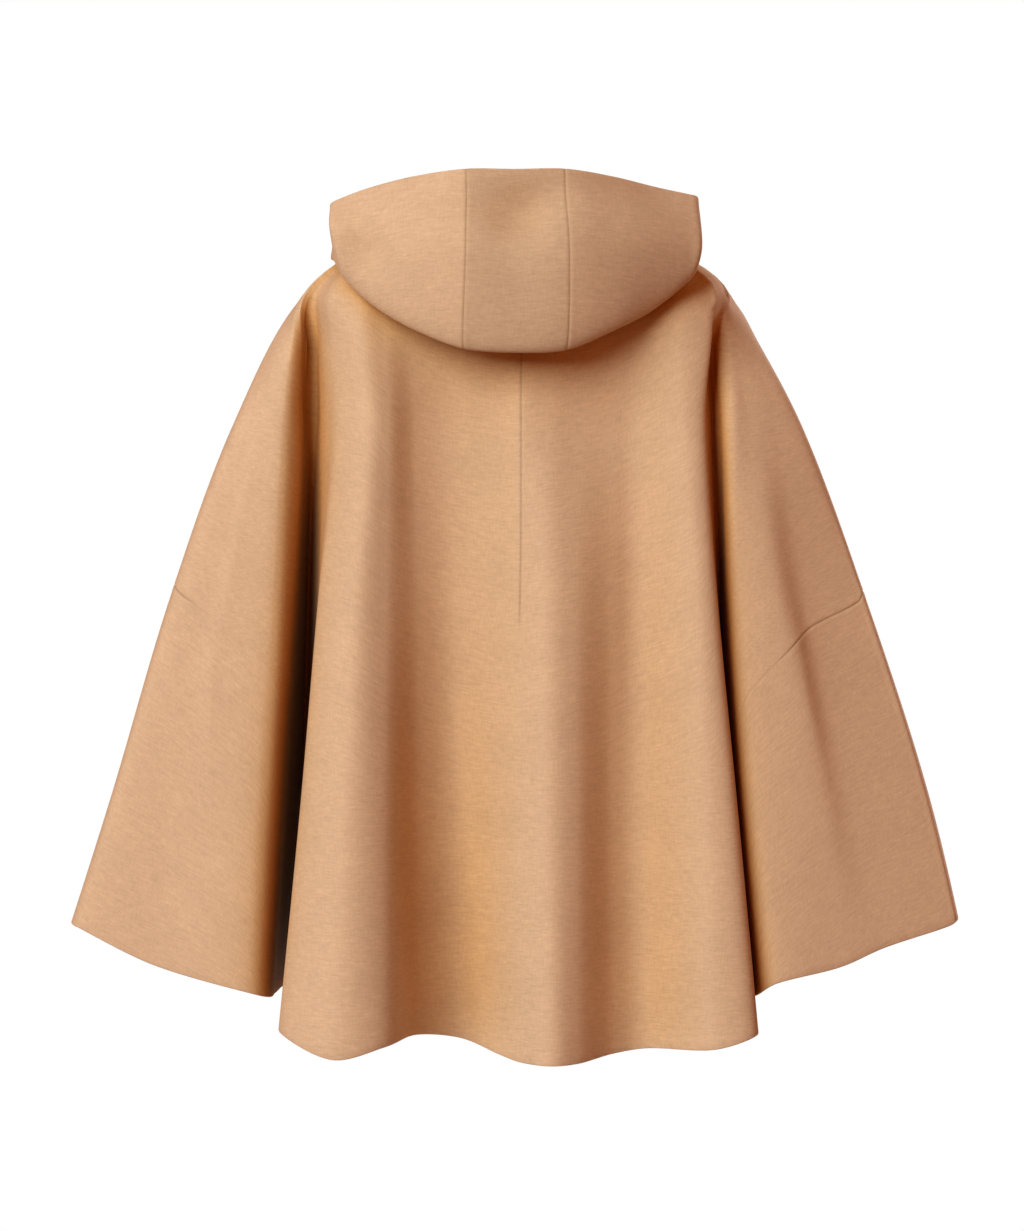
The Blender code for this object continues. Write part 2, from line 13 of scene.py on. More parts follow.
import bpy
import numpy as np
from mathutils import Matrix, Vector

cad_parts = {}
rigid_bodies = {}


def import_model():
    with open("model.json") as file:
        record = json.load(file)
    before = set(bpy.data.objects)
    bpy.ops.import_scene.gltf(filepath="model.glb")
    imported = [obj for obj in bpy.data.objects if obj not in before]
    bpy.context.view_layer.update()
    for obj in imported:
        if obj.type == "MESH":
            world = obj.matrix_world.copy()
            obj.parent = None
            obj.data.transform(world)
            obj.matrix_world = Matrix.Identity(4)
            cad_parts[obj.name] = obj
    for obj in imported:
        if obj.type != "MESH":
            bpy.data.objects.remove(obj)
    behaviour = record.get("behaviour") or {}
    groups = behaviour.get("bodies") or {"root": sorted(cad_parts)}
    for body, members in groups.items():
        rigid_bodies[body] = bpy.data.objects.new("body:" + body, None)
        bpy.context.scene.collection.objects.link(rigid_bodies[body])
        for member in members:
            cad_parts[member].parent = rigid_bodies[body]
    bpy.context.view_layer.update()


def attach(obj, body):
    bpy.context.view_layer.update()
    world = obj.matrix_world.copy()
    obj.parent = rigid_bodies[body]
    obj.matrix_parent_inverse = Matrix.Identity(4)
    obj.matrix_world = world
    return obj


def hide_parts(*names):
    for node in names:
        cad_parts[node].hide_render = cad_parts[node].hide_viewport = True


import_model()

# Driving sizes of the cloak, in millimetres
MM = 0.001
CLOTH = 2.5
NECK_HALF_WIDTH = 84
NECK_HALF_DEPTH = 76
NECK_BACK_Z = -4
NECK_FRONT_DROP = 56
SHOULDER_ROUND = 16
YOKE_ROUND = 4
CHEST_Z = -200
ELBOW_Z = -370
SPLIT_Z = -530
LOW_Z = -570
END_Z = -818
SHOULDER_KNOT = 2       # the neck is knot 0 and the middle of the yoke knot 1
SHORTEST_SPAN = 1e-9    # keeps lengths away from zero where they divide

# Each row is one fold line from the neck to the hem. x and y are given at
# shoulder, chest, elbow, low and end height, on floor lines with split height
# in place of low; y is measured from the arm plane. cut is the height of the
# armhole seam or underarm on that line, hem its end.
FOLD_COLUMNS = ("name", "x", "y", "shoulder_z", "cut", "hem")
BACK_LEFT = (
    ("arm",    (-215, -279, -340, -399, -478),     (0, 28, 34, 34, 34),       -72, -355, -687),
    ("rim",    (-214.5, -277, -337, -396.5, -474), (12, 62, 76, 76, 72),      -72, -357, -688),
    ("bend",   (-213, -271, -330, -390, -460),     (24, 76, 87, 87, 84),      -72, -363, -691),
    ("plane",  (-211, -256, -294, -328, -366),     (42, 88, 98, 101, 101),    -71, -385, -725),
    ("crest",  (-209, -225, -234, -247, -256),     (55, 102, 107, 112, 115),  -70, -437, -752),
    ("lip",    (-207, -209, -216, -229, -242),     (63, 88, 87, 92, 95),      -70, -484, -757),
    ("nook",   (-202, -203, -210, -223, -240),     (63.5, 68, 52, 46, 48),    -70, -514, -758),
    ("floor",  (-197, -197, -204, -209, -209),     (64, 60, 30, 3, 3),        -70, -530, -757),
    ("slot",   (-193, -190, -196, -201, -212),     (70, 74, 50, 28, 28),      -70, -530, -781),
    ("tuck",   (-187, -182, -190, -203, -226),     (85, 94, 90, 86, 88),      -70, -530, -783),
    ("edge",   (-178, -170, -188, -205, -228.5),   (110, 120, 127, 136, 140), -70, -530, -788),
    ("ridge",  (-146, -140, -152, -161, -171),     (130, 147, 167, 184, 192), -70, -530, -808),
    ("brow",   (-122, -121, -123, -124, -123),     (130, 143, 157, 171, 180), -70, -530, -797),
    ("foot",   (-98, -96, -93, -93, -91),          (132, 126, 131, 122, 108), -70, -530, -792),
    ("valley", (-68, -62, -60, -57, -53),          (134, 119, 118, 108, 91),  -70, -530, -797),
    ("inner",  (-22, -14, -16, -16, -14),          (137, 130, 129, 130, 127), -70, -530, -810),
    ("centre", (6, 7, 6, 5, 5),                    (138, 141, 142, 147, 146), -70, -530, -815),
)
BACK_RIGHT = (
    ("swell",  (36, 33, 33, 34, 36),               (138, 141, 157, 166, 172), -70, -530, -816),
    ("lee",    (64, 62, 59, 60, 61),               (136, 134, 152, 159, 161), -70, -530, -815),
    ("foot",   (92, 95, 95, 95, 98),               (134, 127, 132, 130, 122), -70, -530, -809),
    ("valley", (118, 117, 120, 122, 127),          (132, 126, 125, 123, 114), -70, -530, -805),
    ("ridge",  (157, 167, 180, 189, 196),          (128, 142, 152, 158, 160), -70, -530, -801),
    ("edge",   (187, 184, 195, 213, 236),          (116, 136, 145, 151, 153), -70, -530, -789),
    ("tuck",   (196, 187, 196, 211, 231),          (114, 120, 120, 100, 100), -70, -530, -784),
    ("slot",   (200, 190, 199, 207, 223),          (109, 110, 104, 50, 34),   -70, -530, -781),
    ("floor",  (203.5, 193, 201, 211, 211),        (104, 103, 94, 3, 3),      -70, -530, -757),
    ("nook",   (207, 198, 203, 211.5, 234),        (98, 109, 104, 90, 74),    -70, -522, -757),
    ("lip",    (210, 203, 206.5, 217.5, 242),      (91, 117, 118, 122, 124),  -70, -504, -752),
    ("crest",  (211, 212, 217, 232, 260),          (81, 122, 127, 135, 137),  -70, -467, -741),
    ("fall",   (213, 230, 257, 298, 328),          (67, 116, 124, 125, 122),  -70, -419, -725),
    ("dip",    (214.5, 252, 282, 326, 386),        (56, 107, 107, 112, 110),  -71, -398, -708),
    ("bend",   (215.5, 277.5, 338, 401, 456),      (46, 94, 84, 87, 89),      -72, -371, -687),
    ("rim",    (216, 281, 343.5, 406, 461.5),      (36, 88, 82, 85, 87),      -72, -364, -684),
    ("arm",    (217, 282, 346, 410, 466.5),        (0, 34, 38, 40, 40),       -72, -361, -683),
)
# The fronts, from the left arm to the front edge; the right one is its mirror
FRONT = (
    ("bend",   (-215, -272, -334, -392, -458),    (20, 4, 2, 2, 2),           -70, -361, -689),
    ("plane",  (-213, -258, -298, -334, -366),    (34, 38, 42, 44, 46),       -70, -390, -727),
    ("crest",  (-210, -238, -254, -270, -280),    (46, 58, 68, 76, 80),       -70, -440, -750),
    ("lip",    (-205, -213, -219, -226, -246),    (54, 50, 53, 56, 58),       -70, -486, -757),
    ("nook",   (-202, -205, -211, -214, -238),    (62, 38, 30, 30, 30),       -70, -515, -757),
    ("floor",  (-198, -198, -205, -208, -208),    (70, 26, 10, 3, 3),         -70, -530, -757),
    ("slot",   (-192, -190, -197, -200, -214),    (76, 40, 28, 26, 28),       -72, -530, -781),
    ("tuck",   (-186, -182, -190, -202, -233),    (84, 82, 82, 84, 86),       -73, -530, -784),
    ("edge",   (-174, -176, -188, -204, -232),    (94, 112, 122, 130, 134),   -75, -530, -790),
    ("ridge",  (-142, -146, -154, -160, -164),    (104, 134, 148, 158, 162),  -80, -530, -802),
    ("valley", (-92, -92, -90, -88, -86),         (108, 122, 122, 124, 126),  -92, -530, -798),
    ("inner",  (-42, -44, -44, -46, -50),         (106, 140, 150, 158, 162),  -108, -530, -806),
    ("facing", (-2, -3, -3.5, -5, -8),            (100, 138, 150, 160, 166),  -115, -530, -806),
)
# Where the lines beside the shoulder blades pass, x and y just below the shoulder
BLADE_Z = -118
BLADE_LEFT = {
    "plane": (-227, 72), "crest": (-217, 84), "lip": (-207, 79), "nook": (-201, 70), "floor": (-198, 62),
    "slot": (-194.5, 67), "tuck": (-187, 86), "edge": (-175, 111),
}
BLADE_RIGHT = {
    "tuck": (186, 118), "slot": (188.5, 108), "floor": (191, 99), "nook": (194, 98), "lip": (200, 102),
    "crest": (209, 101), "fall": (219.5, 95), "dip": (229, 87), "bend": (236.5, 79), "rim": (240.5, 69),
    "arm": (241, 24),
}
# The side seam and the sleeve's inner line: x at low and end height, and the hem
SIDE_SEAM_X = {"left": (-203, -210), "right": (208, 215)}
SLEEVE_FLOOR_X = {"left": (-215, -239), "right": (217, 236)}
SIDE_SEAM_HEM = -780
SLEEVE_FLOOR_HEM = -757
SLEEVE_FLOOR_Y = 3

# Sections of the folded-down hood from the throat round to the back: turn is
# the angle round the neck, rim the face edge, belly the outer swell, fold the
# lowest fold, and seat how far down the yoke the underside lies on it. Where
# fold is None the hood lies on the yoke, and the fold is worked out from it.
HOOD_COLUMNS = ("name", "turn", "rim", "belly", "fold", "seat")
HOOD_SECTIONS = (
    ("throat",  -178.5, (-5, 110, -46),    (-4, 111, -60),        None,                0.50),
    ("collar",  -135,   (-116, 98, -14),   (-120, 99, -38),       None,                0.60),
    ("lapel",   -112,   (-156, 62, 0),     (-163, 60, -22),       None,                0.66),
    ("side",    -92,    (-177, 10, 8),     (-178.5, 10, -25),     None,                0.69),
    ("corner",  -68,    (-178, -100, 8),   (-176.5, -117, -19),   (-174.5, -109, -42), 0.64),
    ("turn",    -54,    (-177, -126, 14),  (-176, -155, -14),     (-163, -142, -62),   0.76),
    ("bevel",   -50,    (-167, -132, 18),  (-168, -159, -17),     (-154, -146, -72),   0.82),
    ("flank",   -42,    (-140, -146, 26),  (-144, -168, -26),     (-127, -156, -94),   0.92),
    ("quarter", -28,    (-95, -166, 35),   (-98, -188, -34),      (-90, -170, -115),   1.00),
    ("seam",    -14,    (-46, -186, 40),   (-46, -202, -40),      (-48, -180, -131),   1.00),
    ("middle",  0,      (2, -192, 39),     (2, -202, -40),        (3, -184, -135),     1.00),
    ("seam",    14,     (49, -186, 40),    (53, -202, -40),       (50, -180, -132),    1.00),
    ("quarter", 28,     (95, -164, 35),    (98, -187, -36),       (93, -170, -114),    1.00),
    ("flank",   42,     (139, -140, 27),   (145, -165, -30),      (132, -152, -93),    0.92),
    ("bevel",   50,     (167, -131, 22),   (171, -152, -34),      (163, -143, -68),    0.82),
    ("turn",    54,     (177, -127, 20),   (180, -147.5, -36),    (172, -139, -58),    0.76),
    ("corner",  68,     (179, -100, 15),   (177.5, -118, -22),    (173, -112, -38),    0.64),
    ("side",    92,     (178, 10, 12),     (183, 10, -12),        None,                0.70),
    ("lapel",   112,    (156, 62, 0),      (163, 60, -22),        None,                0.66),
    ("collar",  135,    (116, 98, -14),    (120, 99, -38),        None,                0.60),
    ("throat",  178.5,  (5, 110, -46),     (4, 111, -60),         None,                0.50),
)
FOLD_LIFT = 6
FRONT_SEAT_SHARE = 0.8
# Knots of the underside: share of the seat, and height above the yoke
HOOD_UNDERSIDE = ((1.0, 3.5), (0.66, 5), (0.3, 5), (0.0, 0.5))
# Steps round and down the yoke that give its slope
TURN_NUDGE = radians(4)
SHARE_NUDGE = 0.1

# Fineness of the cloth
COLUMN_WIDTH = 5.0
NARROWEST_SPAN = 1.0
FEWEST_COLUMNS = 2
YOKE_ROWS = 14
UPPER_ROWS = 62
LOWER_ROWS = 40
ROW_CROWDING = 1.3
SEAM_OFFSETS = (0.0015, 0.0035, 0.0065, 0.011)  # extra rows beside a seam, as shares
SEAM_SPREADS = (0.8, 1.7, 2.8, 4.2)             # extra columns beside a seam, mm
BLEND_DEPTH = 45                                # rows below the underarm ease over this, mm
HOOD_ROW_STEP = 0.09
SLEEVE_CLOSING = (0.34, 0.67)                   # extra columns where a sleeve closes, as shares
HEM_STEPS = 4
SHARP_ANGLE = radians(60)
CURVE_SAMPLES = 500

# Stitched lines: depth of the groove and height of the ridge beside it, mm
SEAM_GROOVE = 0.4
SEAM_WIDTH = 1.1
SEAM_RIDGE = 0.18
SEAM_RIDGE_OFFSET = 3.2
SEAM_RIDGE_WIDTH = 2.6
SEAM_REACH = 12
# Painted shade: the groove of each stitched line is darkened in colour, as its shadow; its width and how
# far it darkens
PAINTED_SEAM_SHADE_WIDTH = 1.0      # width of the painted shade in the groove, mm
PAINTED_SHADE_STRENGTH = 0.28
# The stitched tuck: its ends, the length it fades over, the y it stays behind, and
# its line, which leans a little to the left at its lower end
TUCK_TOP = -95
TUCK_END = -412
TUCK_FADE = 40
TUCK_FACING_Y = -60
TUCK_HEIGHTS = (TUCK_END, -320, TUCK_TOP)
TUCK_X = (4.7, 6.5, 7)

# Soft dents and swells of the cloth that faces the back: middle, half sizes and
# height in mm, with the tilt of the long axis in degrees
DENT_COLUMNS = ("piece", "x", "z", "half_x", "half_z", "tilt", "height")
DENTS = (
    ("hood", -2, 4, 42, 26, -15, -12.0),
    ("hood", 8, -6, 20, 34, -40, -4.0),
    ("hood", 40, 18, 26, 20, 0, -3.0),
    ("hood", -142, -34, 18, 26, 15, -7.0),
    ("hood", -100, 10, 28, 22, 20, 1.8),
    ("hood", 120, -10, 30, 26, -20, 1.5),
    ("body", 212, -71, 13, 16, 0, -3.0),
)
# Creases of the cloth that faces the back: the line in x and z from the top down, the
# width to its left and right, and the height in mm
CREASE_COLUMNS = ("piece", "line", "widths", "height")
CREASES = (
    ("body", ((-222, -88), (-262, -270), (-281, -368), (-296, -440), (-300, -560)), (5, 9), 1.5),
    ("body", ((271, -352), (275, -411), (285, -473), (304, -530)), (16, 10), 1.6),
    ("body", ((-200, -30), (-199, -80), (-199, -110), (-200, -160), (-201, -240)), (9, 6), -5.0),
)
CREASE_ROUND = 2.5      # half width of the rounded peak
CREASE_FADE = 70        # length over which both ends fade
# Creases and dents ease out where the cloth turns to the side, and stay behind this y
FACING_EDGE = 0.35
FACING_Y = -20
# Painted shade: two hood panels are darkened a little, by a share of the seam's painted shade
PAINTED_PANEL_SHADES = {"hood_centre": 0.4, "hood_right": 0.3}
# Strength of the armhole seam: full from one x outwards, a share of it from weak inwards
SEAM_STRENGTHS = {
    "left": {"full": -326, "weak": -300, "share": 0.15},
    "right": {"full": 272, "weak": 250, "share": 0.35},
}


def spline(knots, places, closed=False):
    """Centripetal spline through knots (..., n, 3) at knot numbers with fractions."""
    if closed:
        padded = np.concatenate([knots[..., -1:, :], knots, knots[..., :2, :]], axis=-2)
        spans = knots.shape[-2]
    else:
        first = 2 * knots[..., :1, :] - knots[..., 1:2, :]
        last = 2 * knots[..., -1:, :] - knots[..., -2:-1, :]
        padded = np.concatenate([first, knots, last], axis=-2)
        spans = knots.shape[-2] - 1
    places = np.asarray(places, dtype=float)
    start = np.clip(np.floor(places).astype(int), 0, spans - 1)
    p0, p1, p2, p3 = (padded[..., start + step, :] for step in range(4))

    def interval(a, b):
        length = np.linalg.norm(b - a, axis=-1, keepdims=True)
        return np.sqrt(np.maximum(length, SHORTEST_SPAN))

    d1, d2, d3 = interval(p0, p1), interval(p1, p2), interval(p2, p3)
    t1, t2, t3 = d1, d1 + d2, d1 + d2 + d3
    t = t1 + d2 * (places - start)[..., None]
    a1 = (p0 * (t1 - t) + p1 * t) / d1
    a2 = (p1 * (t2 - t) + p2 * (t - t1)) / d2
    a3 = (p2 * (t3 - t) + p3 * (t - t2)) / d3
    b1 = (a1 * (t2 - t) + a2 * t) / t2
    b2 = (a2 * (t3 - t) + a3 * (t - t1)) / (t3 - t1)
    return (b1 * (t2 - t) + b2 * (t - t1)) / d2


class FoldLine:
    """One line of the cloth from the neck over the shoulder to the hem."""

    def __init__(self, row, y_sign, mirror=False, blades=None):
        record = dict(zip(FOLD_COLUMNS, row))
        self.name = record["name"]
        self.cut = record["cut"]
        self.hem = record["hem"]
        x_sign = -1 if mirror else 1
        low = SPLIT_Z if self.name == "floor" else LOW_Z
        heights = (record["shoulder_z"], CHEST_Z, ELBOW_Z, low, END_Z)
        knots = np.array([
            (x * x_sign, y * y_sign, z) for x, y, z in zip(record["x"], record["y"], heights)], float)
        if blades and self.name in blades:
            x, y = blades[self.name]
            knots = np.insert(knots, 1, (x, y * y_sign, BLADE_Z), axis=0)
        turn = np.arctan2(knots[0, 0], -knots[0, 1])
        neck = np.array(neck_point(turn))
        yoke = (neck + knots[0]) / 2
        yoke[2] += YOKE_ROUND + SHOULDER_ROUND * np.sin(turn) ** 2
        knots = np.vstack([neck, yoke, knots])
        self.yoke = spline(knots, np.linspace(0, SHOULDER_KNOT, YOKE_ROWS, endpoint=False))
        self.drop = spline(knots, np.linspace(SHOULDER_KNOT, len(knots) - 1, CURVE_SAMPLES))

    def at_heights(self, heights):
        """Points of the line at heights below the shoulder."""
        fall = -self.drop[:, 2]
        return np.stack([np.interp(-heights, fall, self.drop[:, axis]) for axis in range(3)], axis=-1)

    def upper(self, shares):
        top = self.drop[0, 2]
        return np.vstack([self.yoke, self.at_heights(top + (self.cut - top) * shares)])

    def lower(self, shares):
        return self.at_heights(self.cut + (self.hem - self.cut) * shares)


def neck_point(turn):
    front = (1 - np.cos(turn)) / 2
    return (NECK_HALF_WIDTH * np.sin(turn), -NECK_HALF_DEPTH * np.cos(turn),
            NECK_BACK_Z - NECK_FRONT_DROP * front ** 3)


def row_shares(count, crowding, seam_at_end, seam_at_start):
    """Shares of a run of rows, with extra rows beside a seam."""
    shares = list((np.arange(count + 1) / count) ** crowding)
    if seam_at_end:
        shares += [1 - offset for offset in SEAM_OFFSETS]
    if seam_at_start:
        shares += list(SEAM_OFFSETS)
    return np.array(sorted(shares))


def span_fractions(start, end, crowded):
    """Where the mesh columns lie between two lines, as fractions of the span."""
    width = max(np.linalg.norm(start - end), NARROWEST_SPAN)
    count = max(int(np.ceil(width / COLUMN_WIDTH)), FEWEST_COLUMNS)
    fractions = list(np.arange(count) / count)
    if "start" in crowded:
        fractions += [spread / width for spread in SEAM_SPREADS]
    if "end" in crowded:
        fractions += [1 - spread / width for spread in SEAM_SPREADS]
    return np.array(sorted(fractions))


class Cloth:
    """Shared points and faces; each face belongs to one named piece."""

    def __init__(self):
        self.blocks = []
        self.count = 0
        self.faces = {}
        self.uvs = {}

    def add_points(self, grid):
        ids = np.arange(grid.shape[0] * grid.shape[1]).reshape(grid.shape[:2]) + self.count
        self.blocks.append(grid.reshape(-1, 3))
        self.count += ids.size
        return ids

    def add_faces(self, piece, ids, uv):
        """Quads between neighbouring rows and columns of a chart."""
        def corners(values):
            shape = (-1, 4) + values.shape[2:]
            return np.stack([
                values[:-1, :-1], values[1:, :-1], values[1:, 1:], values[:-1, 1:]], axis=2).reshape(shape)
        self.faces.setdefault(piece, []).append(corners(ids))
        self.uvs.setdefault(piece, []).append(corners(uv))

    def join(self):
        self.points = np.vstack(self.blocks)
        self.faces = {piece: np.vstack(parts) for piece, parts in self.faces.items()}
        self.uvs = {piece: np.vstack(parts) for piece, parts in self.uvs.items()}

    def normals(self):
        faces = np.vstack(list(self.faces.values()))
        a, b, c, d = (self.points[faces[:, corner]] for corner in range(4))
        weight = np.cross(c - a, d - b)
        total = np.zeros_like(self.points)
        for corner in range(4):
            np.add.at(total, faces[:, corner], weight)
        length = np.linalg.norm(total, axis=1, keepdims=True)
        return total / np.maximum(length, SHORTEST_SPAN)


def lengths_along(grid, axis):
    """Length of cloth from the first row (axis 0) or first column (axis 1) to each point."""
    steps = np.linalg.norm(np.diff(grid, axis=axis), axis=2)
    return np.insert(np.cumsum(steps, axis=axis), 0, 0, axis=axis)


def arc_uv(grid, zero_column):
    """Cloth coordinates in metres: along each row from one column, and down each column."""
    along = lengths_along(grid, 1)
    along -= along[:, zero_column:zero_column + 1]
    return np.stack([along, -lengths_along(grid, 0)], axis=2) * MM


def body_lines():
    """All fold lines: left front edge, left arm, back, right arm, right front edge."""
    lines = [FoldLine(row, 1) for row in reversed(FRONT)]
    lines += [FoldLine(row, -1, blades=BLADE_LEFT) for row in BACK_LEFT]
    lines += [FoldLine(row, -1, blades=BLADE_RIGHT) for row in BACK_RIGHT]
    return lines + [FoldLine(row, 1, mirror=True) for row in FRONT]


def smooth_step(value):
    value = np.clip(value, 0, 1)
    return value * value * (3 - 2 * value)


def bell(distance, width):
    return np.exp(-(distance / width) ** 2)


def seam_profile(distance):
    """Height across a stitched line: a groove between two low ridges."""
    height = -SEAM_GROOVE * bell(distance, SEAM_WIDTH)
    return height + SEAM_RIDGE * bell(np.abs(distance) - SEAM_RIDGE_OFFSET, SEAM_RIDGE_WIDTH)


class Body:
    """Yoke, back, fronts and sleeves."""

    def __init__(self, cloth):
        self.cloth = cloth
        self.lines = body_lines()
        names = [line.name for line in self.lines]
        self.floors = [place for place, name in enumerate(names) if name == "floor"]
        self.arms = [place for place, name in enumerate(names) if name == "arm"]
        self.middle = names.index("centre")
        self.upper_shares = row_shares(UPPER_ROWS, ROW_CROWDING, True, False)
        self.lower_shares = row_shares(LOWER_ROWS, 1.0, False, True)
        self.armhole = []
        self.fractions = []
        for place in range(len(self.lines) - 1):
            ends = [self.lines[near].lower(np.array([1.0]))[0] for near in (place, place + 1)]
            crowded = []
            if place == self.middle:
                crowded.append("start")
            if place + 1 == self.middle:
                crowded.append("end")
            self.fractions.append(span_fractions(*ends, crowded))
        self.add_upper()
        self.add_lower_body()
        self.add_sleeve("left", self.floors[0], self.floors[1])
        self.add_sleeve("right", self.floors[2], self.floors[3])

    def places(self, spans):
        """Knot numbers of the columns over a run of spans."""
        parts = [number + self.fractions[span] for number, span in enumerate(spans)]
        return np.concatenate(parts + [[len(spans)]])

    def add_upper(self):
        rows = np.stack([line.upper(self.upper_shares) for line in self.lines], axis=1)
        self.columns = self.places(range(len(self.lines) - 1))
        self.column_of = [int(np.argmin(np.abs(self.columns - place))) for place in range(len(self.lines))]
        self.grid = spline(rows, self.columns)
        self.ids = self.cloth.add_points(self.grid)
        uv = arc_uv(self.grid, self.column_of[self.middle])
        self.uv = uv
        above = lengths_along(self.grid[::-1], 0)[::-1]
        for first, last in zip(self.floors[::2], self.floors[1::2]):
            run = slice(self.column_of[first], self.column_of[last] + 1)
            self.armhole.append((self.ids[:, run], above[:, run]))
        left, right = (self.column_of[arm] for arm in self.arms)
        end = len(self.columns) - 1
        for piece, first, last in (
                ("front_left", 0, left), ("back", left, right), ("front_right", right, end)):
            self.cloth.add_faces(piece, self.ids[:, first:last + 1], uv[:, first:last + 1])

    def hang(self, rows, places, top, closed=False):
        """Rows below the seam, eased into the last row above it."""
        grid = spline(rows, places, closed)
        known = ~np.isnan(top[:, 0])
        offset = np.zeros_like(top)
        offset[known] = top[known] - grid[0][known]
        depth = np.linalg.norm(grid - grid[:1], axis=2)
        ease = smooth_step(1 - depth / BLEND_DEPTH)
        return grid + offset[None] * ease[..., None]

    def branch(self, start, low_x, end_x, y, hem):
        """The side seam of the body, or a sleeve's inner line."""
        z = SPLIT_Z + (hem - SPLIT_Z) * self.lower_shares
        upper_x = start[0] + (low_x - start[0]) * (SPLIT_Z - z) / (SPLIT_Z - LOW_Z)
        lower_x = low_x + (end_x - low_x) * (LOW_Z - z) / (LOW_Z - END_Z)
        x = np.where(z > LOW_Z, upper_x, lower_x)
        return np.stack([x, np.full_like(z, y), z], axis=1)

    def corner(self, place):
        return self.lines[place].lower(np.array([0.0]))[0]

    def add_lower_body(self):
        left_before, left_after, right_before, right_after = self.floors
        last = len(self.lines) - 1
        order = list(range(left_before)) + ["left"]
        order += list(range(left_after + 1, right_before)) + ["right"]
        order += list(range(right_after + 1, last + 1))
        spans = list(range(left_before)) + list(range(left_after, right_before))
        spans += list(range(right_after, last))
        seams = {"left": (left_before, left_after), "right": (right_before, right_after)}
        rows = []
        for item in order:
            if item in seams:
                before, after = seams[item]
                start = (self.corner(before) + self.corner(after)) / 2
                rows.append(self.branch(start, *SIDE_SEAM_X[item], 0, SIDE_SEAM_HEM))
            else:
                rows.append(self.lines[item].lower(self.lower_shares))
        rows = np.stack(rows, axis=1)
        places = self.places(spans)
        counts = [len(self.fractions[span]) for span in spans]
        first_seam = sum(counts[:left_before])
        second_seam = sum(counts[:left_before + right_before - left_after])
        top_ids = np.concatenate([
            self.ids[-1, :self.column_of[left_before]],
            self.ids[-1, self.column_of[left_after]:self.column_of[right_before]],
            self.ids[-1, self.column_of[right_after]:]])
        top = self.grid.reshape(-1, 3)[top_ids - self.ids[0, 0]]
        top[[first_seam, second_seam]] = np.nan
        grid = self.hang(rows, places, top)
        ids = self.cloth.add_points(grid)
        ids[0] = top_ids
        middle = int(np.argmin(np.abs(places - order.index(self.middle))))
        uv = arc_uv(grid, middle)
        uv[..., 1] += self.uv[-1, self.column_of[self.middle], 1]
        # At a side seam the panels on either side start from the sleeve's two corners
        before_ids = ids.copy()
        before_ids[0, first_seam] = self.ids[-1, self.column_of[left_before]]
        before_ids[0, second_seam] = self.ids[-1, self.column_of[right_before]]
        back_ids = ids.copy()
        back_ids[0, second_seam] = before_ids[0, second_seam]
        for piece, source, first, final in (
                ("front_left", before_ids, 0, first_seam),
                ("back", back_ids, first_seam, second_seam),
                ("front_right", ids, second_seam, ids.shape[1] - 1)):
            self.cloth.add_faces(piece, source[:, first:final + 1], uv[:, first:final + 1])

    def add_sleeve(self, side, before, after):
        spans = list(range(before, after))
        low_x, end_x = SLEEVE_FLOOR_X[side]
        rows = []
        for place in range(before, after + 1):
            if place in (before, after):
                start = self.corner(place)
                y = SLEEVE_FLOOR_Y if start[1] > 0 else -SLEEVE_FLOOR_Y
                rows.append(self.branch(start, low_x, end_x, y, SLEEVE_FLOOR_HEM))
            else:
                rows.append(self.lines[place].lower(self.lower_shares))
        rows = np.stack(rows, axis=1)
        places = self.places(spans)
        closing = len(spans) + np.array(SLEEVE_CLOSING)
        first, last = self.column_of[before], self.column_of[after]
        top = self.grid[-1, first:last + 1]
        top = np.vstack([top, np.full((len(closing), 3), np.nan)])
        grid = self.hang(rows, np.concatenate([places, closing]), top, closed=True)
        ids = self.cloth.add_points(grid)
        ids[0, :len(places)] = self.ids[-1, first:last + 1]
        ids = np.hstack([ids, ids[:, :1]])
        around = np.concatenate([grid, grid[:, :1]], axis=1)
        arm = int(np.argmin(np.abs(places - (self.arms[0 if side == "left" else 1] - before))))
        uv = arc_uv(around, arm)
        self.cloth.add_faces("sleeve_" + side, ids, uv)
        self.armhole.append((ids[1:], -uv[1:, :, 1] / MM))


class Yoke:
    """Points over the yoke, for the hood that lies on it."""

    def __init__(self, grid):
        self.rows = grid[:YOKE_ROWS + 1]
        self.turns = np.arctan2(self.rows[..., 0], -self.rows[..., 1])

    def on_cloth(self, turn, share):
        place = np.clip(share, 0, 1) * YOKE_ROWS
        row = min(int(place), YOKE_ROWS - 1)
        ends = []
        for number in (row, row + 1):
            ends.append(np.array([
                np.interp(turn, self.turns[number], self.rows[number, :, axis]) for axis in range(3)]))
        return ends[0] + (ends[1] - ends[0]) * (place - row)

    def point(self, turn, share, lift):
        around = self.on_cloth(turn + TURN_NUDGE, share) - self.on_cloth(turn - TURN_NUDGE, share)
        down = self.on_cloth(turn, share + SHARE_NUDGE) - self.on_cloth(turn, share - SHARE_NUDGE)
        normal = np.cross(down, around)
        return self.on_cloth(turn, share) + normal / np.linalg.norm(normal) * lift


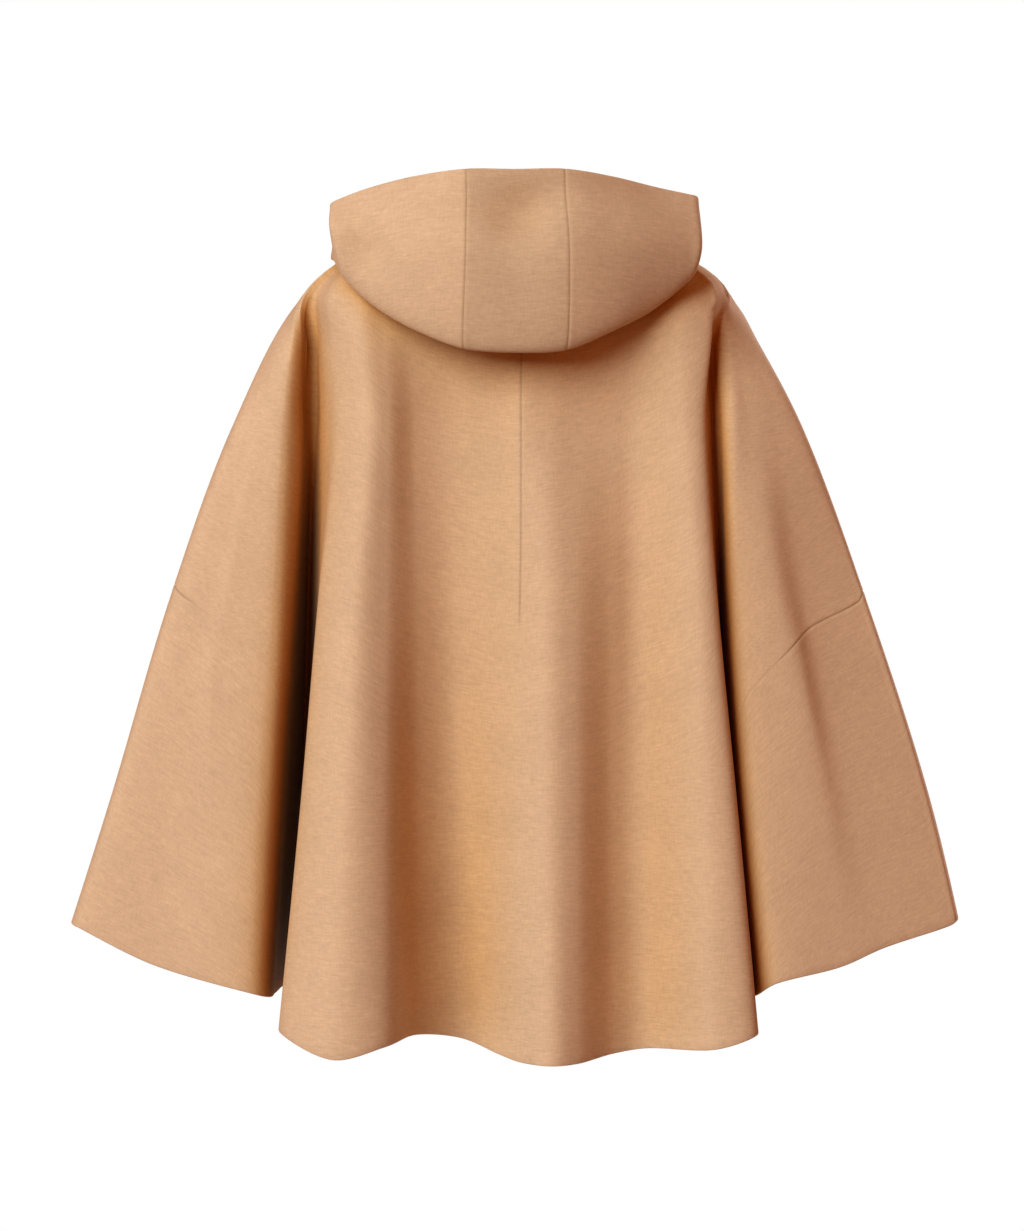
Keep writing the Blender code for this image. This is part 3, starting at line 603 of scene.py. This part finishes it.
def add_hood(cloth, yoke):
    """The folded-down hood: two sides and a centre strip over the crown."""
    sections = [dict(zip(HOOD_COLUMNS, row)) for row in HOOD_SECTIONS]
    for section in sections:
        if section["fold"] is None:
            section["fold"] = yoke.point(radians(section["turn"]), section["seat"], FOLD_LIFT)
            section["seat"] *= FRONT_SEAT_SHARE
    bellies = np.array([section["belly"] for section in sections], float)
    seams = [number for number, section in enumerate(sections) if section["name"] == "seam"]
    places = []
    for number in range(len(sections) - 1):
        crowded = []
        if number in seams:
            crowded.append("start")
        if number + 1 in seams:
            crowded.append("end")
        places.append(number + span_fractions(bellies[number], bellies[number + 1], crowded))
    places = np.concatenate(places + [[len(sections) - 1]])
    guides = [
        spline(np.array([section[key] for section in sections], float), places)
        for key in ("rim", "belly", "fold")]
    settings = spline(np.array([
        (radians(section["turn"]), section["seat"], 0) for section in sections]), places)
    last = 2 + len(HOOD_UNDERSIDE)
    down = np.linspace(0, last, int(last / HOOD_ROW_STEP) + 1)
    columns = []
    for column, (turn, seat, _) in enumerate(settings):
        knots = [guide[column] for guide in guides]
        for share, lift in HOOD_UNDERSIDE:
            knots.append(yoke.point(turn, seat * share, lift))
        columns.append(spline(np.array(knots), down))
    grid = np.stack(columns, axis=1)
    at_seam = [int(np.argmin(np.abs(places - seam))) for seam in seams]
    middle = int(np.argmin(np.abs(places - (seams[0] + 1))))
    uv = arc_uv(grid, middle)
    ids = cloth.add_points(grid)
    bounds = [0] + at_seam + [len(places) - 1]
    for piece, first, final in zip(("hood_left", "hood_centre", "hood_right"), bounds, bounds[1:]):
        cloth.add_faces(piece, ids[:, first:final + 1], uv[:, first:final + 1])
    return grid, ids, at_seam


def crease_height(places, crease):
    """Height of a crease at places (x, z): a rounded peak along a line, fading at both ends."""
    line = np.array(crease["line"], float)
    steps = np.diff(line, axis=0)
    lengths = np.linalg.norm(steps, axis=1)
    before = np.concatenate([[0], np.cumsum(lengths)])
    nearest = np.full(len(places), np.inf)
    side = np.zeros(len(places))
    along = np.zeros(len(places))
    for start, step, length, run in zip(line, steps, lengths, before):
        offset = places - start
        share = np.clip(offset @ step / length ** 2, 0, 1)
        gap = offset - share[:, None] * step
        distance = np.linalg.norm(gap, axis=1)
        closer = distance < nearest
        nearest = np.where(closer, distance, nearest)
        side = np.where(closer, gap[:, 0], side)
        along = np.where(closer, run + share * length, along)
    left, right = crease["widths"]
    width = np.where(side < 0, left, right)
    rounded = np.sqrt(nearest ** 2 + CREASE_ROUND ** 2) - CREASE_ROUND
    fade = smooth_step(along / CREASE_FADE) * smooth_step((before[-1] - along) / CREASE_FADE)
    return crease["height"] * np.exp(-rounded / width) * fade


class Relief:
    """Heights of seams, creases and dents at every point of the cloth, and its painted shade."""

    def __init__(self, cloth, hood_ids):
        self.points = cloth.points
        self.normals = cloth.normals()
        self.height = np.zeros(len(self.points))
        self.shade = np.zeros(len(self.points))
        self.is_hood = np.zeros(len(self.points), bool)
        self.is_hood[hood_ids.ravel()] = True
        facing = smooth_step(-self.normals[:, 1] / FACING_EDGE)
        self.facing_back = facing * (self.points[:, 1] < FACING_Y)

    def add_tuck(self):
        """The stitched tuck down the middle of the back."""
        z = self.points[:, 2]
        fade = smooth_step((z - TUCK_END) / TUCK_FADE)
        fade = fade * smooth_step((TUCK_TOP - z) / TUCK_FADE + 1)
        beside = self.points[:, 0] - np.interp(z, TUCK_HEIGHTS, TUCK_X)
        facing = ~self.is_hood & (self.points[:, 1] < TUCK_FACING_Y)
        self.height += np.where(facing, seam_profile(beside) * fade, 0)
        # Painted shade along the tuck's groove
        self.shade += np.where(facing, bell(beside, PAINTED_SEAM_SHADE_WIDTH) * fade, 0)

    def add_armholes(self, armholes):
        """The seams that set on the sleeves."""
        for ids, distance in armholes:
            side = "left" if self.points[ids[0, 0], 0] < 0 else "right"
            strength = SEAM_STRENGTHS[side]
            x = self.points[ids, 0]
            share = smooth_step((x - strength["weak"]) / (strength["full"] - strength["weak"]))
            share = strength["share"] + (1 - strength["share"]) * share
            near = distance < SEAM_REACH
            self.height[ids] = np.where(near, seam_profile(distance) * share, self.height[ids])
            # Painted shade along the seam's groove
            self.shade[ids] = np.maximum(self.shade[ids], bell(distance, PAINTED_SEAM_SHADE_WIDTH) * share)

    def add_hood_seams(self, grid, ids, at_seam):
        """The two seams that join the hood's sides to its centre strip."""
        along = lengths_along(grid, 1)
        for seam in at_seam:
            distance = along - along[:, seam:seam + 1]
            self.height[ids.ravel()] += seam_profile(distance).ravel()
            # Painted shade along each hood seam's groove
            self.shade[ids.ravel()] += bell(distance, PAINTED_SEAM_SHADE_WIDTH).ravel()

    def add_painted_panel_shade(self, faces):
        """Painted shade over two hood panels."""
        for piece, shade in PAINTED_PANEL_SHADES.items():
            panel = np.unique(faces[piece])
            self.shade[panel] = np.maximum(self.shade[panel], shade)

    def add_creases(self):
        for row in CREASES:
            crease = dict(zip(CREASE_COLUMNS, row))
            same_piece = self.is_hood == (crease["piece"] == "hood")
            chosen = np.flatnonzero((self.facing_back > 0) & same_piece)
            height = crease_height(self.points[chosen][:, [0, 2]], crease)
            self.height[chosen] += height * self.facing_back[chosen]

    def add_dents(self):
        for row in DENTS:
            dent = dict(zip(DENT_COLUMNS, row))
            tilt = radians(dent["tilt"])
            x = self.points[:, 0] - dent["x"]
            z = self.points[:, 2] - dent["z"]
            across = (x * np.cos(tilt) + z * np.sin(tilt)) / dent["half_x"]
            lengthways = (z * np.cos(tilt) - x * np.sin(tilt)) / dent["half_z"]
            strength = self.facing_back * (self.is_hood == (dent["piece"] == "hood"))
            self.height += strength * dent["height"] * np.exp(-across ** 2 - lengthways ** 2)


def add_relief(cloth, body, hood):
    """Move the cloth's points along their normals and note the places of painted shade."""
    grid, ids, at_seam = hood
    relief = Relief(cloth, ids)
    relief.add_tuck()
    relief.add_armholes(body.armhole)
    relief.add_hood_seams(grid, ids, at_seam)
    relief.add_painted_panel_shade(cloth.faces)
    relief.add_creases()
    relief.add_dents()
    cloth.points = relief.points + relief.normals * relief.height[:, None]
    cloth.shade = relief.shade


def rim_edges(faces):
    """Edges that only one face of the piece has: start, end and the place of the start's uv."""
    edges = np.vstack([faces[:, [corner, (corner + 1) % 4]] for corner in range(4)])
    corner_uv = np.concatenate([np.arange(len(faces)) * 4 + corner for corner in range(4)])
    keys = {(a, b): place for place, (a, b) in enumerate(edges)}
    return [(a, b, corner_uv[place]) for (a, b), place in keys.items() if (b, a) not in keys]


def hem_lean(edges, outer, normal, is_shared):
    """Directions away from the piece along its open edges, zero where it meets another piece."""
    lean = np.zeros_like(outer)
    for start, end, _ in edges:
        out = np.cross(outer[end] - outer[start], normal[start] + normal[end])
        length = np.linalg.norm(out)
        if length > SHORTEST_SPAN and not (is_shared[start] and is_shared[end]):
            lean[start] += out / length
            lean[end] += out / length
    length = np.linalg.norm(lean, axis=1, keepdims=True)
    return lean / np.maximum(length, SHORTEST_SPAN)


def hem_rings(outer, normal, lean):
    """Rings of points that round the edge off, from the outer skin to the inner one."""
    middle = outer - normal * CLOTH / 2
    rings = []
    for step in range(1, HEM_STEPS):
        angle = pi * step / HEM_STEPS
        rings.append(middle + normal * CLOTH / 2 * np.cos(angle) + lean * CLOTH / 2 * np.sin(angle))
    return rings


def wall_mesh(name, cloth, normals, shared, finish):
    """The closed wall of one piece: outer skin, inner skin and a rounded edge at each hem."""
    faces = cloth.faces[name]
    uvs = cloth.uvs[name].reshape(-1, 2)
    used, compact = np.unique(faces, return_inverse=True)
    compact = compact.reshape(faces.shape)
    outer = cloth.points[used]
    normal = normals[used]
    count = len(used)
    edges = rim_edges(compact)
    lean = hem_lean(edges, outer, normal, shared[used])
    rim = sorted({place for start, end, _ in edges for place in (start, end)})
    rings = hem_rings(outer[rim], normal[rim], lean[rim])

    levels = {}
    for order, place in enumerate(rim):
        between = [2 * count + step * len(rim) + order for step in range(len(rings))]
        levels[place] = [place] + between + [place + count]
    quads = []
    quad_uvs = []
    for start, end, corner in edges:
        one, two = levels[start], levels[end]
        for step in range(HEM_STEPS):
            quads.append((two[step], one[step], one[step + 1], two[step + 1]))
            quad_uvs.append([uvs[corner]] * 4)

    skin_uvs = uvs.reshape(-1, 4, 2)
    vertices = np.vstack([outer, outer - normal * CLOTH] + rings)
    loops = np.vstack([compact, compact[:, ::-1] + count, np.array(quads)])
    loop_uvs = np.concatenate([skin_uvs, skin_uvs[:, ::-1], np.array(quad_uvs)])
    # Painted shade of the seams and two hood panels, kept on the outer skin
    shades = np.zeros(len(vertices))
    shades[:count] = np.clip(cloth.shade[used], 0, 1)

    mesh = bpy.data.meshes.new(name)
    mesh.from_pydata((vertices * MM).tolist(), [], loops.tolist())
    layer = mesh.uv_layers.new(name="cloth")
    layer.data.foreach_set("uv", loop_uvs.astype(np.float32).ravel())
    shade = mesh.attributes.new("painted_shade", "FLOAT", "POINT")
    shade.data.foreach_set("value", shades.astype(np.float32))
    mesh.materials.append(finish)
    mesh.shade_smooth()
    mesh.set_sharp_from_angle(angle=SHARP_ANGLE)
    piece = bpy.data.objects.new(name + "_wool", mesh)
    bpy.context.collection.objects.link(piece)
    return piece


# Wool: the tones of the melange, and how its surface takes the light
WOOL_DARK = (0.34, 0.207, 0.112, 1)
WOOL_MIDDLE = (0.545, 0.406, 0.256, 1)
WOOL_LIGHT = (0.70, 0.544, 0.389, 1)
WOOL_SURFACE = {
    "Roughness": 0.92,
    "Specular IOR Level": 0.15,
    "Sheen Weight": 0.22,
    "Sheen Roughness": 0.45,
    "Sheen Tint": (1.0, 0.86, 0.70, 1),
}
THREAD_SCALE = 620
THREAD_STRETCH = 6
# The cloth's noises: grains to a metre, how much longer they are along the row, and the
# detail and place of each pattern
NOISE_COLUMNS = ("name", "scale", "stretch", "detail", "offset")
NOISES = (
    ("crosswise", THREAD_SCALE, THREAD_STRETCH, 2, 0),
    ("lengthwise", THREAD_SCALE / THREAD_STRETCH, 1 / THREAD_STRETCH, 2, 3),
    ("slubs", 260, 5, 3, 7),
    ("specks", 1100, 1.4, 2, 5),
    ("clouds", 16, 1.3, 3, 9),
)
NOISE_ROUGHNESS = 0.6
NOISE_LOW = 0.3
NOISE_HIGH = 0.7
SEED_STEP = (3.7, 1.9)
# How far each noise lightens and darkens the wool
THREAD_SWINGS = {"crosswise": 0.075, "lengthwise": 0.055, "slubs": 0.055}
CLOUD_SWING = 0.04
DARK_SPECKS = (0.26, 0.38)
LIGHT_SPECKS = (0.62, 0.74)
SPECK_STRENGTH = 0.30
BUMP_COLUMNS = ("noise", "strength", "distance")
BUMPS = (
    ("crosswise", 0.14, 0.0006),
    ("specks", 0.12, 0.0003),
)
# Painted shade in folds: how far the ambient occlusion reaches, its samples, and how strongly it darkens
# red, green and blue
PAINTED_FOLD_SHADE_REACH = 0.11
PAINTED_FOLD_SHADE_SAMPLES = 4
PAINTED_FOLD_SHADE_POWERS = (0.1, 0.5, 1.3)
# Numbers of a colour mix node's sockets
MIX_FACTOR = 0
MIX_FIRST = 6
MIX_SECOND = 7
MIX_RESULT = 2


def wool(name, seed):
    """Melange wool: threads, slubs and specks of three tones, painted shade in seams and folds, a nap and
    a soft sheen.
    """
    result = bpy.data.materials.new(name)
    result.use_nodes = True
    tree = result.node_tree
    nodes, links = tree.nodes, tree.links
    shader = nodes["Principled BSDF"]
    for socket, value in WOOL_SURFACE.items():
        shader.inputs[socket].default_value = value
    uv = nodes.new("ShaderNodeUVMap")
    uv.uv_map = "cloth"

    def noise(scale, stretch, detail, offset):
        mapping = nodes.new("ShaderNodeMapping")
        mapping.inputs["Location"].default_value = (seed * SEED_STEP[0] + offset, seed * SEED_STEP[1], 0)
        mapping.inputs["Scale"].default_value = (scale / stretch, scale, scale)
        texture = nodes.new("ShaderNodeTexNoise")
        texture.inputs["Scale"].default_value = 1
        texture.inputs["Detail"].default_value = detail
        texture.inputs["Roughness"].default_value = NOISE_ROUGHNESS
        links.new(uv.outputs["UV"], mapping.inputs["Vector"])
        links.new(mapping.outputs["Vector"], texture.inputs["Vector"])
        return texture.outputs["Fac"]

    def mix(factor, one, two, kind="MIX"):
        node = nodes.new("ShaderNodeMix")
        node.data_type = "RGBA"
        node.blend_type = kind
        for number, value in ((MIX_FACTOR, factor), (MIX_FIRST, one), (MIX_SECOND, two)):
            if isinstance(value, bpy.types.NodeSocket):
                links.new(value, node.inputs[number])
            else:
                node.inputs[number].default_value = value
        return node.outputs[MIX_RESULT]

    def ramp(source, low, high, start, end):
        node = nodes.new("ShaderNodeMapRange")
        node.inputs["From Min"].default_value = low
        node.inputs["From Max"].default_value = high
        node.inputs["To Min"].default_value = start
        node.inputs["To Max"].default_value = end
        links.new(source, node.inputs["Value"])
        return node.outputs["Result"]

    def swing(colour, source, amount):
        tone = ramp(source, NOISE_LOW, NOISE_HIGH, 1 - amount, 1 + amount)
        return mix(1.0, colour, tone, "MULTIPLY")

    noises = {}
    for row in NOISES:
        facts = dict(zip(NOISE_COLUMNS, row))
        noises[facts["name"]] = noise(facts["scale"], facts["stretch"], facts["detail"], facts["offset"])

    colour = WOOL_MIDDLE
    for thread, amount in THREAD_SWINGS.items():
        colour = swing(colour, noises[thread], amount)
    colour = mix(ramp(noises["specks"], *DARK_SPECKS, SPECK_STRENGTH, 0.0), colour, WOOL_DARK)
    colour = mix(ramp(noises["specks"], *LIGHT_SPECKS, 0.0, SPECK_STRENGTH), colour, WOOL_LIGHT)
    colour = swing(colour, noises["clouds"], CLOUD_SWING)
    # Painted shade: the colour darkens where the mesh marks it, in the seams' grooves and on two hood
    # panels
    seam = nodes.new("ShaderNodeAttribute")
    seam.attribute_name = "painted_shade"
    colour = mix(1.0, colour, ramp(seam.outputs["Fac"], 0.0, 1.0, 1.0, 1 - PAINTED_SHADE_STRENGTH), "MULTIPLY")

    # Painted shade: ambient occlusion darkens and reddens the colour in deep folds, for light that bounces
    # about there
    painted_fold_shade = nodes.new("ShaderNodeAmbientOcclusion")
    painted_fold_shade.samples = PAINTED_FOLD_SHADE_SAMPLES
    painted_fold_shade.inputs["Distance"].default_value = PAINTED_FOLD_SHADE_REACH
    parts = nodes.new("ShaderNodeCombineColor")
    for channel, power in zip(("Red", "Green", "Blue"), PAINTED_FOLD_SHADE_POWERS):
        raised = nodes.new("ShaderNodeMath")
        raised.operation = "POWER"
        raised.inputs[1].default_value = power
        links.new(painted_fold_shade.outputs["AO"], raised.inputs[0])
        links.new(raised.outputs[0], parts.inputs[channel])
    colour = mix(1.0, colour, parts.outputs["Color"], "MULTIPLY")
    links.new(colour, shader.inputs["Base Color"])

    # Raised threads, then fine grains on them
    before = None
    for row in BUMPS:
        facts = dict(zip(BUMP_COLUMNS, row))
        bump = nodes.new("ShaderNodeBump")
        bump.inputs["Strength"].default_value = facts["strength"]
        bump.inputs["Distance"].default_value = facts["distance"]
        links.new(noises[facts["noise"]], bump.inputs["Height"])
        if before is not None:
            links.new(before, bump.inputs["Normal"])
        before = bump.outputs["Normal"]
    links.new(before, shader.inputs["Normal"])
    return result


# Every panel: its node, material slot, what it hangs from, and its flat cut in metres
PIECE_COLUMNS = ("node", "slot", "hangs_from", "flat", "area")
PIECES = (
    ("back", "body_wool", ["hood_centre"], (1.50, 0.84), 0.70),
    ("front_left", "body_wool", ["back"], (0.66, 0.84), 0.33),
    ("front_right", "body_wool", ["back"], (0.66, 0.84), 0.33),
    ("sleeve_left", "sleeve_wool", ["back"], (0.69, 0.35), 0.19),
    ("sleeve_right", "sleeve_wool", ["back"], (0.72, 0.35), 0.20),
    ("hood_left", "hood_wool", ["back"], (0.55, 0.36), 0.08),
    ("hood_centre", "hood_wool", ["back"], (0.11, 0.36), 0.034),
    ("hood_right", "hood_wool", ["back"], (0.55, 0.36), 0.08),
)


def make_cloak():
    cloth = Cloth()
    body = Body(cloth)
    hood = add_hood(cloth, Yoke(body.grid))
    cloth.join()
    add_relief(cloth, body, hood)
    normals = cloth.normals()
    owners = np.zeros(len(cloth.points), int)
    for faces in cloth.faces.values():
        owners[np.unique(faces)] += 1
    shared = owners > 1
    finishes = {}
    for number, row in enumerate(PIECES):
        facts = dict(zip(PIECE_COLUMNS, row))
        slot = facts["slot"]
        if slot not in finishes:
            finishes[slot] = wool(slot, len(finishes) + 1)
        piece = wall_mesh(facts["node"], cloth, normals, shared, finishes[slot])
        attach(piece, "root")
        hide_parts(facts["node"])


# Camera: level, four metres from the arm plane, where the view is 1.231 m high
CAMERA_AT = (-0.002, -4.0, -0.3855)
VIEW_HEIGHT = 1.231
SENSOR = 36


def add_camera():
    data = bpy.data.cameras.new("camera")
    data.sensor_width = SENSOR
    data.lens = SENSOR * abs(CAMERA_AT[1]) / VIEW_HEIGHT
    camera = bpy.data.objects.new("camera", data)
    camera.location = CAMERA_AT
    camera.rotation_euler = (pi / 2, 0, 0)
    bpy.context.collection.objects.link(camera)
    bpy.context.scene.camera = camera


def aim(item, target):
    direction = Vector(target) - item.location
    item.rotation_euler = direction.to_track_quat("-Z", "Y").to_euler()


# The key lights the back from the upper left, a weak red lamp fills it from the right,
# and front lights the side away from the camera
LIGHT_COLUMNS = ("name", "at", "size", "power", "colour")
LIGHTS = (
    ("key", (-4.4, -6.1, 3.0), 5.0, 800, (1.0, 0.98, 0.95)),
    ("fill", (3.4, -2.6, 0.4), 2.4, 10, (1.0, 0.36, 0.12)),
    ("front", (4.4, 6.1, 3.0), 5.0, 640, (1.0, 0.97, 0.93)),
)
LIGHT_TARGET = (0, 0, -0.4)
# The surroundings: strength and colour of their light, and as the camera sees them
AMBIENT = 0.30
AMBIENT_COLOUR = (1.0, 0.24, 0.06, 1)
BACKDROP = 1.0
BACKDROP_COLOUR = (1, 1, 1, 1)


def add_lights():
    for row in LIGHTS:
        facts = dict(zip(LIGHT_COLUMNS, row))
        data = bpy.data.lights.new(facts["name"], "AREA")
        data.size = facts["size"]
        data.energy = facts["power"]
        data.color = facts["colour"]
        lamp = bpy.data.objects.new(facts["name"], data)
        lamp.location = facts["at"]
        aim(lamp, LIGHT_TARGET)
        bpy.context.collection.objects.link(lamp)


def add_world():
    """Soft red light from all round, plain white where the surroundings are seen directly."""
    world = bpy.data.worlds.new("studio")
    bpy.context.scene.world = world
    world.use_nodes = True
    nodes, links = world.node_tree.nodes, world.node_tree.links
    background = nodes["Background"]
    tint = nodes.new("ShaderNodeMix")
    tint.data_type = "RGBA"
    tint.inputs[MIX_FIRST].default_value = AMBIENT_COLOUR
    tint.inputs[MIX_SECOND].default_value = BACKDROP_COLOUR
    path = nodes.new("ShaderNodeLightPath")
    strength = nodes.new("ShaderNodeMapRange")
    strength.inputs["To Min"].default_value = AMBIENT
    strength.inputs["To Max"].default_value = BACKDROP
    links.new(path.outputs["Is Camera Ray"], tint.inputs[MIX_FACTOR])
    links.new(tint.outputs[MIX_RESULT], background.inputs["Color"])
    links.new(path.outputs["Is Camera Ray"], strength.inputs["Value"])
    links.new(strength.outputs["Result"], background.inputs["Strength"])


# A pale round floor well below the hem
FLOOR_Z = -1.7
FLOOR_RADIUS = 0.9
FLOOR_SIDES = 96
FLOOR_COLOUR = (0.78, 0.88, 0.95, 1)
FLOOR_ROUGHNESS = 0.8


def add_floor():
    angles = np.arange(FLOOR_SIDES) * 2 * pi / FLOOR_SIDES
    ring = [(FLOOR_RADIUS * np.cos(a), FLOOR_RADIUS * np.sin(a), FLOOR_Z) for a in angles]
    mesh = bpy.data.meshes.new("floor")
    mesh.from_pydata(ring, [], [tuple(range(FLOOR_SIDES))])
    finish = bpy.data.materials.new("floor_paint")
    finish.use_nodes = True
    shader = finish.node_tree.nodes["Principled BSDF"]
    shader.inputs["Base Color"].default_value = FLOOR_COLOUR
    shader.inputs["Roughness"].default_value = FLOOR_ROUGHNESS
    mesh.materials.append(finish)
    floor = bpy.data.objects.new("floor", mesh)
    bpy.context.collection.objects.link(floor)


make_cloak()
add_camera()
add_lights()
add_world()
add_floor()
bpy.context.scene.view_settings.view_transform = "Standard"
